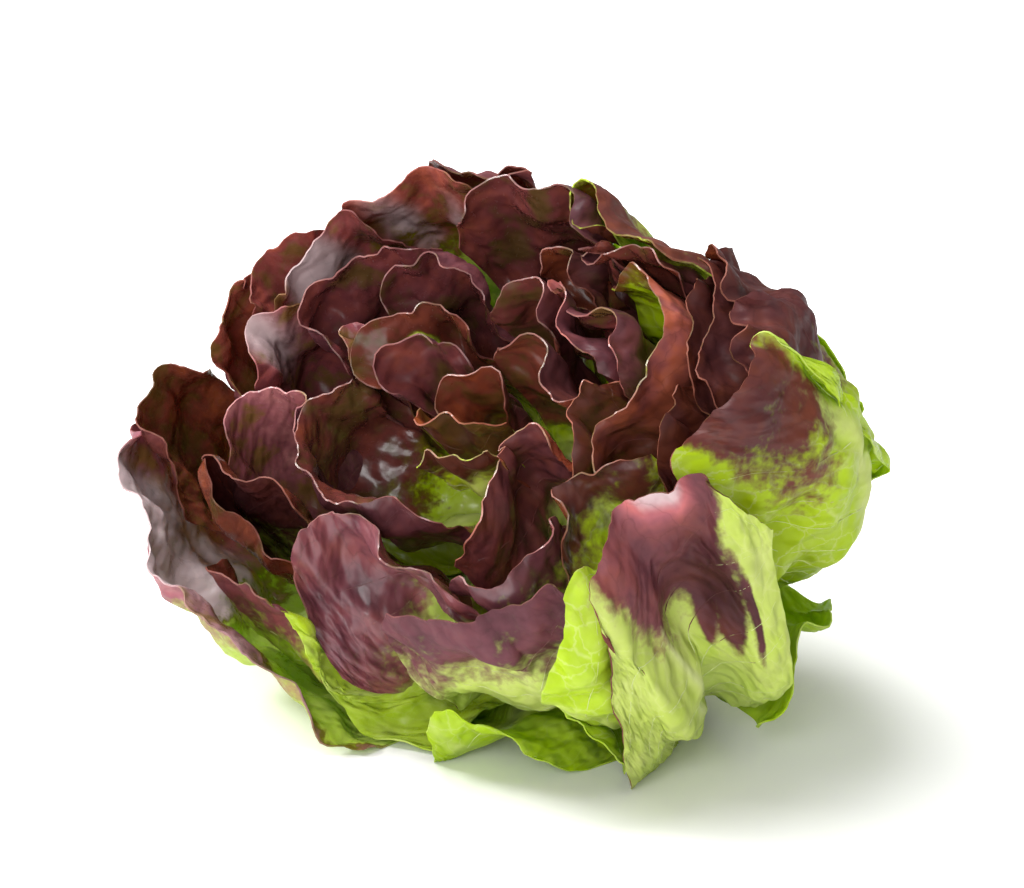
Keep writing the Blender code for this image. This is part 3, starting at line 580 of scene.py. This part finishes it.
def leafSheet(node, coarse, rises):
    # the fine sheet in world places, its own map, and the values that its shape and colours need
    plan = {**ringLook[node.split("_")[0]], **leafPlan[node]}
    toWorld = np.array(headMatrix())
    p, rise, u, v = finerSheet(plan, coarse @ toWorld[:3, :3].T + toWorld[:3, 3], rises)
    x, y = lengthsAlong(p, 0), lengthsAlong(p, 1)
    x = x - x[len(u) // 2]
    uGrid = (u[:, None] * 2 - 1) + 0 * x
    vGrid = v[None, :] + 0 * x
    p, free = bentSheet(plan, random.Random(node), p, uGrid, vGrid)
    fromRib = x / (leafBuild["ribHalfWidth"] * (1 - leafBuild["ribNarrows"] * vGrid))
    tint, mood = sheetColours(plan, rise, uGrid, vGrid, fromRib)
    besideRib = 1 - 0.8 * np.exp(-((fromRib / leafBuild["calmBeside"]) ** 2))
    vectors = {"tint": tint, "mood": mood, "leafSize": np.stack([x, y, 0 * x], axis=-1)}
    floats = {"ribShare": np.exp(-(fromRib**2)) * (1 - vGrid**1.4) * free,
              "relief": fadeIn("relief", vGrid) * free * besideRib}
    return plan, p, (u, v), vectors, floats


def sheetObject(node, points, ownMap, vectors, floats):
    across, along = points.shape[:2]
    index = np.arange(across * along).reshape(across, along)
    quads = np.stack([index[:-1, :-1], index[1:, :-1], index[1:, 1:], index[:-1, 1:]], axis=-1).reshape(-1, 4)
    mesh = bpy.data.meshes.new(node + "_sheet")
    mesh.from_pydata(points.reshape(-1, 3).tolist(), [], quads.tolist())
    uv = np.stack(np.meshgrid(*ownMap, indexing="ij"), axis=-1).reshape(-1, 2)
    layer = mesh.uv_layers.new(name="leafMap")
    corners = np.zeros(len(mesh.loops), dtype=int)
    mesh.loops.foreach_get("vertex_index", corners)
    layer.data.foreach_set("uv", uv[corners].reshape(-1).astype(np.float32))
    for kind, field, group in (("FLOAT_VECTOR", "vector", vectors), ("FLOAT", "value", floats)):
        for name, values in group.items():
            made = mesh.attributes.new(name, kind, "POINT")
            made.data.foreach_set(field, values.reshape(-1).astype(np.float32))
    made = bpy.data.objects.new(node + "_sheet", mesh)
    bpy.context.scene.collection.objects.link(made)
    return made


class Tree:
    # short ways to add and link nodes in a node tree
    def __init__(self, tree):
        self.tree = tree

    def node(self, kind, inputs=None, **settings):
        made = self.tree.nodes.new(kind)
        for name, value in settings.items():
            setattr(made, name, value)
        for key, value in (inputs or {}).items():
            self.feed(made.inputs[key], value)
        return made

    def first(self, kind, inputs=None, **settings):
        return self.node(kind, inputs, **settings).outputs[0]

    def feed(self, socket, value):
        if isinstance(value, bpy.types.NodeSocket):
            self.tree.links.new(value, socket)
        else:
            socket.default_value = value

    def math(self, operation, a, b=0.0, c=0.0, clamp=False):
        return self.first("ShaderNodeMath", {0: a, 1: b, 2: c}, operation=operation, use_clamp=clamp)

    def times(self, a, b):
        return self.math("MULTIPLY", a, b)

    def line(self, value, slope, start):
        return self.math("MULTIPLY_ADD", value, slope, start)

    def centred(self, noise, strength):
        return self.line(noise, strength, -0.5 * strength)

    def part(self, a, b, share):
        return self.line(self.math("SUBTRACT", b, a), share, a)

    def ramp(self, value, low, high, toLow=0.0, toHigh=1.0):
        return self.first("ShaderNodeMapRange", {0: value, 1: low, 2: high, 3: toLow, 4: toHigh},
                          interpolation_type="SMOOTHSTEP", clamp=True)

    def noise(self, vector, scale, detail, rough=0.5):
        return self.first("ShaderNodeTexNoise",
                          {"Vector": vector, "Scale": scale, "Detail": detail, "Roughness": rough})

    def scaled(self, vector, factor):
        return self.first("ShaderNodeVectorMath", {0: vector, "Scale": factor}, operation="SCALE")

    def plus(self, a, b):
        return self.first("ShaderNodeVectorMath", {0: a, 1: b}, operation="ADD")

    def mixed(self, factor, a, b):
        node = self.node("ShaderNodeMix", data_type="RGBA")
        sockets = [s for s in node.inputs if s.enabled]
        self.feed(sockets[0], factor)
        for socket, colour in ((sockets[1], a), (sockets[2], b)):
            self.feed(socket, colour if isinstance(colour, bpy.types.NodeSocket) else (*colour, 1))
        return next(o for o in node.outputs if o.enabled)

    def named(self, name, kind="FLOAT"):
        made = self.node("GeometryNodeInputNamedAttribute", {"Name": name}, data_type=kind)
        return next(o for o in made.outputs if o.enabled and o.name == "Attribute")

    def stored(self, geometry, name, value, domain, kind="FLOAT"):
        return self.first("GeometryNodeStoreNamedAttribute",
                          {"Geometry": geometry, "Name": name, "Value": value}, data_type=kind, domain=domain)

    def moved(self, geometry, offset):
        return self.first("GeometryNodeSetPosition", {"Geometry": geometry, "Offset": offset})

    def joined(self, *parts):
        made = self.node("GeometryNodeJoinGeometry")
        for part in parts:
            self.tree.links.new(part, made.inputs[0])
        return made.outputs[0]


def raisedSheet(t, given, normal):
    # blisters: rounded bulges between finer hollows
    scale = t.math("DIVIDE", 1.0, given["Blister size"])
    noise = t.first("ShaderNodeTexNoise",
                    {"Vector": t.named("leafSize", "FLOAT_VECTOR"), "W": given["Seed"], "Scale": scale,
                     "Detail": leafBuild["blisterDetail"]}, noise_dimensions="4D")
    bulge = t.times(t.math("SUBTRACT", noise, 0.5), leafBuild["blisterGain"])
    lift = t.times(t.times(bulge, given["Blister height"]), t.named("relief"))
    return t.moved(given["Sheet"], t.scaled(normal, lift))


def thickBlade(t, given, raised, normal):
    # the blade is even, and the rib stands out on the outer face
    inner = t.moved(raised, t.scaled(normal, t.times(given["Blade"], -0.5)))
    ribExtra = t.math("SUBTRACT", given["Rib"], given["Blade"])
    thickness = t.line(ribExtra, t.named("ribShare"), given["Blade"])
    outer = t.node("GeometryNodeExtrudeMesh", {"Mesh": inner, "Offset": normal, "Offset Scale": thickness,
                                               "Individual": False}, mode="FACES").outputs
    side = t.first("GeometryNodeSwitch", {"Switch": outer["Top"], "False": faceSide["edge"],
                                          "True": faceSide["outer"]}, input_type="FLOAT")
    outerFaces = t.stored(outer["Mesh"], "faceSide", side, "FACE")
    flipped = t.first("GeometryNodeFlipFaces", {0: inner})
    both = t.joined(outerFaces, t.stored(flipped, "faceSide", faceSide["inner"], "FACE"))
    return t.first("GeometryNodeMergeByDistance", {"Geometry": both, "Distance": 1e-6})


def veinSpot(t, given, number, along):
    # where a point of a side vein lies in the leaf's own map, and how high up the leaf its vein starts
    look = veinLook
    jitter = t.node("FunctionNodeRandomValue", {"Min": -1.0, "Max": 1.0, "ID": number, "Seed": given["Seed"]},
                    data_type="FLOAT")
    jitter = next(o for o in jitter.outputs if o.enabled)
    hand = t.line(t.math("MODULO", number, 2.0), 2.0, -1.0)
    order = t.math("DIVIDE", t.line(number, 0.5, 0.2), given["Side veins"])
    reach = t.times(hand, t.times(t.math("POWER", along, look["spread"]), look["reach"]))
    start = t.line(order, look["startRange"], t.line(jitter, look["startJitter"], look["firstStart"]))
    climb = t.line(order, -look["climbLoss"], t.line(jitter, look["climbJitter"], look["climb"]))
    up = t.math("MINIMUM", t.line(t.math("POWER", along, look["bow"]), climb, start), look["last"])
    return t.first("ShaderNodeCombineXYZ", {0: t.math("ADD", reach, 0.5), 1: up}), order


def veinTubes(t, given, raised, normal):
    # lines in the leaf's own map, placed on the raised sheet and given a tapering round section
    look = veinLook
    line = t.first("GeometryNodeCurvePrimitiveLine")
    line = t.first("GeometryNodeResampleCurve", {"Curve": line, "Count": look["points"]})
    starts = t.first("GeometryNodePoints", {"Count": t.times(given["Side veins"], 2.0)})
    lines = t.first("GeometryNodeInstanceOnPoints", {"Points": starts, "Instance": line})
    lines = t.first("GeometryNodeRealizeInstances", {0: lines})
    index = t.first("GeometryNodeInputIndex")
    number = t.first("GeometryNodeFieldOnDomain", {0: index}, data_type="INT", domain="CURVE")
    along = t.node("GeometryNodeSplineParameter").outputs["Factor"]
    spot, order = veinSpot(t, given, number, along)
    leafMap = t.named("leafMap", "FLOAT_VECTOR")

    def onSheet(value):
        made = t.node("GeometryNodeSampleUVSurface", {"Mesh": raised, "Value": value},
                      data_type="FLOAT_VECTOR")
        for names, source in ((("UV Map", "Source UV Map"), leafMap), (("Sample UV",), spot)):
            t.feed(next(i for i in made.inputs if i.enabled and i.name in names), source)
        return made.outputs[0]

    taper = t.line(along, -look["taper"], 1.0)
    radius = t.times(t.times(taper, given["Vein width"]), t.line(order, -look["upperThinner"], 0.5))
    out = t.line(radius, -look["sunk"], t.times(given["Blade"], 0.5))
    onto = t.plus(onSheet(t.first("GeometryNodeInputPosition")), t.scaled(onSheet(normal), out))
    veins = t.first("GeometryNodeSetPosition", {"Geometry": lines, "Position": onto})
    for name in ("tint", "mood", "leafSize"):
        value = onSheet(t.named(name, "FLOAT_VECTOR"))
        veins = t.stored(veins, name, value, "POINT", "FLOAT_VECTOR")
    veins = t.first("GeometryNodeSetCurveRadius", {"Curve": veins, "Radius": radius})
    ring = t.first("GeometryNodeCurvePrimitiveCircle", {"Resolution": look["sides"], "Radius": 1.0})
    tubes = t.node("GeometryNodeCurveToMesh", {"Curve": veins, "Profile Curve": ring, "Fill Caps": True})
    if "Scale" in tubes.inputs:
        t.feed(tubes.inputs["Scale"], radius)
    marked = t.stored(tubes.outputs[0], "faceSide", faceSide["outer"], "FACE")
    return t.stored(marked, "veinShare", 1.0, "POINT")


def buildLeafTree():
    # a sheet becomes a blade with blisters, a rib and side veins that follow its surface
    tree = bpy.data.node_groups.new("leafBlade", "GeometryNodeTree")
    t = Tree(tree)
    sockets = {}
    for name, kind in (("Sheet", "Geometry"), ("Blade", "Float"), ("Rib", "Float"),
                       ("Blister height", "Float"), ("Blister size", "Float"), ("Seed", "Float"),
                       ("Side veins", "Int"), ("Vein width", "Float"), ("Surface", "Material")):
        sockets[name] = tree.interface.new_socket(name=name, in_out="INPUT", socket_type="NodeSocket" + kind)
    tree.interface.new_socket(name="Leaf", in_out="OUTPUT", socket_type="NodeSocketGeometry")
    given = t.node("NodeGroupInput").outputs
    normal = t.first("GeometryNodeInputNormal")
    raised = raisedSheet(t, given, normal)
    blade = thickBlade(t, given, raised, normal)
    whole = t.joined(veinTubes(t, given, raised, normal), blade)
    real = t.first("GeometryNodeRealizeInstances", {0: whole})
    smooth = t.first("GeometryNodeSetShadeSmooth", {"Geometry": real, "Shade Smooth": True})
    sharp = t.math("GREATER_THAN", t.first("GeometryNodeInputMeshEdgeAngle"), 1.0)
    crisp = t.first("GeometryNodeSetShadeSmooth",
                    {"Geometry": smooth, "Selection": sharp, "Shade Smooth": False}, domain="EDGE")
    dressed = t.first("GeometryNodeSetMaterial", {"Geometry": crisp, "Material": given["Surface"]})
    t.feed(t.node("NodeGroupOutput").inputs[0], dressed)
    return tree, {name: socket.identifier for name, socket in sockets.items()}


# The leaves' colours, the same in all of them, and what differs from ring to ring: how dull each face is,
# the share of light that passes the blade, and its shine.
leafColour = {
    "vividGreen": (0.45, 0.63, 0.006), "paleGreen": (0.68, 0.75, 0.26), "ribCream": (0.76, 0.78, 0.48),
    "outerMauve": (0.26, 0.076, 0.100), "outerBrown": (0.17, 0.042, 0.022),
    "innerPurple": (0.125, 0.030, 0.038), "innerBrown": (0.180, 0.042, 0.012),
    # paintedSheen is no colour of the leaf: a painted highlight, a pale grey sheen over the brightest red
    "innerOlive": (0.15, 0.115, 0.007), "paintedSheen": (0.80, 0.68, 0.69), "margin": (0.24, 0.095, 0.08),
    "throughGreen": (0.50, 0.70, 0.01), "throughRed": (0.20, 0.040, 0.012),
}
leafFinish = {
    "heart leaf": {"innerRough": 0.31, "outerRough": 0.44, "through": 0.15, "gloss": 0.5, "coat": 0.3},
    "inner leaf": {"innerRough": 0.25, "outerRough": 0.38, "through": 0.15, "gloss": 0.5, "coat": 0.4},
    "outer leaf": {"innerRough": 0.27, "outerRough": 0.44, "through": 0.30, "gloss": 0.32, "coat": 0.0},
    "base leaf": {"innerRough": 0.38, "outerRough": 0.48, "through": 0.36, "gloss": 0.25, "coat": 0.0},
}
# Patterns in the skin. Scales are those of the noises, per metre, and a pair is where a redness, a
# paleness, a noise or a brightness starts to count and where it does so in full.
skinLook = {
    "wideScale": 75, "wideBlotch": 2.6, "fineScale": 420, "fineBlotch": 1.0, "red": (-0.6, 1.1),
    "greenTurns": (0.15, 0.55), "redTurns": (0.45, 0.95), "olive": (0.34, 0.52), "cream": (0.75, 1.0),
    "netScale": 105, "netBend": 0.010, "netLine": 0.055, "netShare": 0.45, "netFades": (0.45, 0.9),
    "rim": (0.40, 0.65), "rimShare": (0.05, 0.45), "paleDull": (0.3, 0.9), "paleDuller": 0.25,
    "puckerScale": 125, "pucker": 4.0, "bump": 0.9, "bumpDepth": 0.8 * mm,
    "toneChange": 1.6, "roughChange": 0.16, "edgeDuller": 0.3,
    # sheen is where the red starts and ends turning into the painted grey sheen, and sheenShare how far it
    # goes
    "brightest": 2.4, "darkest": 0.35, "sheen": (2.5, 6.0), "sheenShare": 0.8,
    "ior": 1.45, "coatRough": 0.16,
}


def skinPlaces(t):
    # what the sheet's own values and the noises say about a point of the skin
    def attribute(title, output="Vector"):
        return t.node("ShaderNodeAttribute", attribute_name=title, attribute_type="GEOMETRY").outputs[output]

    def threeOf(title):
        return t.node("ShaderNodeSeparateXYZ", {0: attribute(title)}).outputs[:3]

    at = SimpleNamespace()
    place = t.node("ShaderNodeTexCoord").outputs["Object"]
    redOut, redIn, at.pale = threeOf("tint")
    at.tone, lightIn, lightOut = threeOf("mood")
    side = attribute("faceSide", "Fac")
    at.vein = attribute("veinShare", "Fac")
    at.leafSize = attribute("leafSize")
    at.outer = t.math("GREATER_THAN", side, 0.75)
    at.edge = t.times(t.math("GREATER_THAN", side, 0.25), t.math("LESS_THAN", side, 0.75))
    at.light = t.part(lightIn, lightOut, at.outer)
    at.wide = t.noise(place, skinLook["wideScale"], 3, 0.6)
    at.fine = t.noise(place, skinLook["fineScale"], 2, 0.6)
    # blotches where the red gives way to green
    red = t.math("ADD", t.part(redIn, redOut, at.outer), t.centred(at.wide, skinLook["wideBlotch"]))
    red = t.math("ADD", red, t.centred(at.fine, skinLook["fineBlotch"]))
    at.red = t.ramp(red, *skinLook["red"])
    # net of small veins, from the edges of cells in the leaf's own flat sizes
    bend = t.first("ShaderNodeCombineXYZ", {0: at.wide, 1: t.times(at.fine, 0.4)})
    warped = t.plus(at.leafSize, t.scaled(bend, skinLook["netBend"]))
    cells = t.first("ShaderNodeTexVoronoi", {"Vector": warped, "Scale": skinLook["netScale"]},
                    feature="DISTANCE_TO_EDGE")
    net = t.ramp(cells, 0.0, skinLook["netLine"], 1.0, 0.0)
    net = t.times(net, t.ramp(at.pale, *skinLook["netFades"], 1.0, 0.0))
    at.net = t.times(net, skinLook["netShare"])
    return at


def greenSkin(t, at):
    paler = t.math("MULTIPLY_ADD", at.wide, 0.9, t.math("SUBTRACT", at.pale, 0.45), clamp=True)
    green = t.mixed(paler, leafColour["vividGreen"], leafColour["paleGreen"])
    return t.mixed(t.times(t.ramp(at.pale, *skinLook["cream"]), 0.8), green, leafColour["ribCream"])


def redSkin(t, at):
    # between purple and brown, with olive patches on the inner face, and a painted pale grey sheen, a painted
    # highlight, where it is brightest
    tone = t.math("ADD", at.tone, t.centred(at.wide, skinLook["toneChange"]), clamp=True)
    outer = t.mixed(tone, leafColour["outerMauve"], leafColour["outerBrown"])
    inner = t.mixed(tone, leafColour["innerPurple"], leafColour["innerBrown"])
    inner = t.mixed(t.ramp(at.wide, *skinLook["olive"], 0.5, 0.0), inner, leafColour["innerOlive"])
    mottle = t.math("MAXIMUM", t.line(at.wide, 2.2, -0.1), skinLook["darkest"])
    shade = t.times(t.math("MINIMUM", at.light, skinLook["brightest"]), mottle)
    red = t.scaled(t.mixed(at.outer, inner, outer), shade)
    sheen = t.times(at.light, t.math("ADD", at.wide, 0.5))
    sheen = t.ramp(sheen, *skinLook["sheen"], 0.0, skinLook["sheenShare"])
    return t.mixed(sheen, red, leafColour["paintedSheen"])


def wholeSkin(t, at):
    # green below and red above, and over them the net, the side veins and the rim
    green, red = greenSkin(t, at), redSkin(t, at)
    turning = t.mixed(at.outer, leafColour["innerOlive"], t.mixed(0.5, green, red))
    skin = t.mixed(t.ramp(at.red, *skinLook["greenTurns"]), green, turning)
    skin = t.mixed(t.ramp(at.red, *skinLook["redTurns"]), skin, red)
    netColour = t.mixed(at.red, leafColour["paleGreen"], t.scaled(red, 0.55))
    skin = t.mixed(t.times(at.net, t.line(at.outer, 0.6, 0.4)), skin, netColour)
    veinColour = t.mixed(at.red, leafColour["ribCream"], leafColour["margin"])
    skin = t.mixed(t.times(at.vein, t.line(at.red, -0.3, 0.6)), skin, veinColour)
    rimColour = t.mixed(at.red, leafColour["paleGreen"], leafColour["margin"])
    rim = t.times(at.edge, t.ramp(at.wide, *skinLook["rim"], *skinLook["rimShare"]))
    return t.mixed(rim, skin, rimColour)


def leafMaterial(name, finish):
    made = bpy.data.materials.new(name)
    made.use_nodes = True
    made.node_tree.nodes.clear()
    t = Tree(made.node_tree)
    at = skinPlaces(t)
    pucker = t.times(t.noise(at.leafSize, skinLook["puckerScale"], 1), skinLook["pucker"])
    bump = t.first("ShaderNodeBump", {"Height": pucker, "Strength": skinLook["bump"],
                                      "Distance": skinLook["bumpDepth"]})
    # duller on the outer face, at the rim and where it is pale
    rough = t.line(at.outer, finish["outerRough"] - finish["innerRough"], finish["innerRough"])
    rough = t.math("ADD", rough, t.centred(at.fine, skinLook["roughChange"]))
    rough = t.line(at.edge, skinLook["edgeDuller"], rough)
    rough = t.math("ADD", rough, t.ramp(at.pale, *skinLook["paleDull"], 0.0, skinLook["paleDuller"]))
    body = t.first("ShaderNodeBsdfPrincipled", {
        "Base Color": wholeSkin(t, at), "Roughness": rough, "Normal": bump, "IOR": skinLook["ior"],
        "Specular IOR Level": finish["gloss"], "Coat Weight": finish["coat"],
        "Coat Roughness": skinLook["coatRough"]})
    through = t.mixed(at.red, leafColour["throughGreen"], leafColour["throughRed"])
    glow = t.first("ShaderNodeBsdfTranslucent", {"Color": through})
    both = t.first("ShaderNodeMixShader", {0: finish["through"], 1: body, 2: glow})
    t.feed(t.node("ShaderNodeOutputMaterial").inputs["Surface"], both)
    return made


def buildLeaves():
    tree, sockets = buildLeafTree()
    materials = {slot: leafMaterial(slot.replace(" ", "_") + "_skin", finish)
                 for slot, finish in leafFinish.items()}
    laid, taken = layOutLeaves()
    total = 0
    for number, (node, coarse) in enumerate(zip(leafPlan, pressedLeaves(laid, taken))):
        plan, points, ownMap, vectors, floats = leafSheet(node, coarse, laid[number][1])
        sheet = sheetObject(node, points, ownMap, vectors, floats)
        grow = sheet.modifiers.new("leafBlade", "NODES")
        grow.node_group = tree
        for name, value in (("Blade", leafBuild["blade"]), ("Rib", leafBuild["rib"]),
                            ("Blister height", plan["blister"]), ("Blister size", leafBuild["blisterSize"]),
                            ("Seed", float(number)), ("Side veins", plan["sideVeins"]),
                            ("Vein width", leafBuild["veinWidth"]), ("Surface", materials[plan["slot"]])):
            grow[sockets[name]] = value
        sheet.update_tag()
        graph = bpy.context.evaluated_depsgraph_get()
        mesh = bpy.data.meshes.new_from_object(sheet.evaluated_get(graph), depsgraph=graph)
        places = np.zeros(len(mesh.vertices) * 3)
        mesh.vertices.foreach_get("co", places)
        places[2::3] = np.maximum(places[2::3], 0.0)  # nothing sinks into the table
        mesh.vertices.foreach_set("co", places)
        mesh.update()
        piece = bpy.data.objects.new(node + "_blade", mesh)
        bpy.context.scene.collection.objects.link(piece)
        bpy.data.objects.remove(sheet)
        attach(piece, "root")
        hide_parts(node)
        total += sum(len(face.vertices) - 2 for face in mesh.polygons)
    print("leaves grown:", len(leafPlan), "with", total, "triangles")


# The cut stem: cream and pale green in fine mottles.
stemLook = {"darker": (0.70, 0.66, 0.40, 1), "lighter": (0.86, 0.85, 0.66, 1), "grain": 260, "rough": 0.45,
            "bump": 0.4, "bumpDepth": 0.8 * mm}


def dressStem():
    made = bpy.data.materials.new("cut_stem")
    made.use_nodes = True
    t = Tree(made.node_tree)
    shader = made.node_tree.nodes["Principled BSDF"].inputs
    noise = t.noise(t.node("ShaderNodeTexCoord").outputs["Object"], stemLook["grain"], 4)
    ramp = t.node("ShaderNodeValToRGB", {0: noise})
    for element, colour in zip(ramp.color_ramp.elements, (stemLook["darker"], stemLook["lighter"])):
        element.color = colour
    bump = t.node("ShaderNodeBump", {"Height": noise, "Strength": stemLook["bump"],
                                     "Distance": stemLook["bumpDepth"]})
    t.feed(shader["Base Color"], ramp.outputs[0])
    t.feed(shader["Normal"], bump.outputs[0])
    t.feed(shader["Roughness"], stemLook["rough"])
    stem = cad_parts["stem"]
    stem.data.materials.clear()
    stem.data.materials.append(made)
    print("stem dressed")


# A pale studio. Away from the head the floor glows a little: painted light, standing in for the light on a
# lit backdrop.
stageSet = {
    "floorColour": (0.93, 0.93, 0.93, 1), "floorHalf": 6.0, "floorRough": 0.7, "floorGloss": 0.2,
    "glow": 0.80, "glowFrom": 0.05, "glowTo": 0.8, "world": 0.42, "aim": Vector((0, 0, 0.08)),
    "lights": {"keyLight": {"place": (-1.05, 0.22, 0.85), "size": 0.42, "power": 19},
               "topLight": {"place": (-0.25, 0.05, 1.25), "size": 0.7, "power": 17},
               "frontLight": {"place": (-0.35, -1.25, 0.6), "size": 0.7, "power": 10}},
}


def floorPaint():
    paint = bpy.data.materials.new("floor_paint")
    paint.use_nodes = True
    paint.cycles.emission_sampling = "NONE"
    t = Tree(paint.node_tree)
    place = t.node("ShaderNodeTexCoord").outputs["Object"]
    away = t.node("ShaderNodeVectorMath", {0: place}, operation="LENGTH").outputs["Value"]
    shader = paint.node_tree.nodes["Principled BSDF"].inputs
    glow = t.ramp(away, stageSet["glowFrom"], stageSet["glowTo"], 0.0, stageSet["glow"])
    for name, value in (("Base Color", stageSet["floorColour"]), ("Roughness", stageSet["floorRough"]),
                        ("Specular IOR Level", stageSet["floorGloss"]), ("Emission Strength", glow),
                        ("Emission Color", (1, 1, 1, 1))):
        t.feed(shader[name], value)
    return paint


def buildStage():
    scene = bpy.context.scene
    mesh = bpy.data.meshes.new("floor")
    h = stageSet["floorHalf"]
    mesh.from_pydata([(-h, -h, 0), (h, -h, 0), (h, h, 0), (-h, h, 0)], [], [(0, 1, 2, 3)])
    mesh.materials.append(floorPaint())
    floor = bpy.data.objects.new("floor", mesh)
    scene.collection.objects.link(floor)
    scene.world = bpy.data.worlds.new("studio")
    scene.world.use_nodes = True
    background = scene.world.node_tree.nodes["Background"].inputs
    background[0].default_value = (1, 1, 1, 1)
    background[1].default_value = stageSet["world"]
    for name, light in stageSet["lights"].items():
        lamp = bpy.data.lights.new(name, "AREA")
        lamp.shape, lamp.size, lamp.energy = "SQUARE", light["size"], light["power"]
        made = bpy.data.objects.new(name, lamp)
        made.location = light["place"]
        toward = stageSet["aim"] - Vector(light["place"])
        made.rotation_euler = toward.to_track_quat("-Z", "Y").to_euler()
        scene.collection.objects.link(made)
    scene.view_settings.view_transform = "Standard"
    print("stage set")


def buildCamera():
    e = math.radians(cameraSet["elevation"])
    back = Vector((0, -math.cos(e), math.sin(e)))
    camera = bpy.data.objects.new("camera", bpy.data.cameras.new("camera"))
    camera.data.lens = cameraSet["lens"]
    camera.data.sensor_width = 36
    camera.location = cameraSet["aim"] + back * cameraSet["distance"]
    camera.rotation_euler = (-back).to_track_quat("-Z", "Y").to_euler()
    bpy.context.scene.collection.objects.link(camera)
    bpy.context.scene.camera = camera
    print("camera set")


buildCamera()
buildLeaves()
dressStem()
buildStage()

bpy.context.view_layer.update()
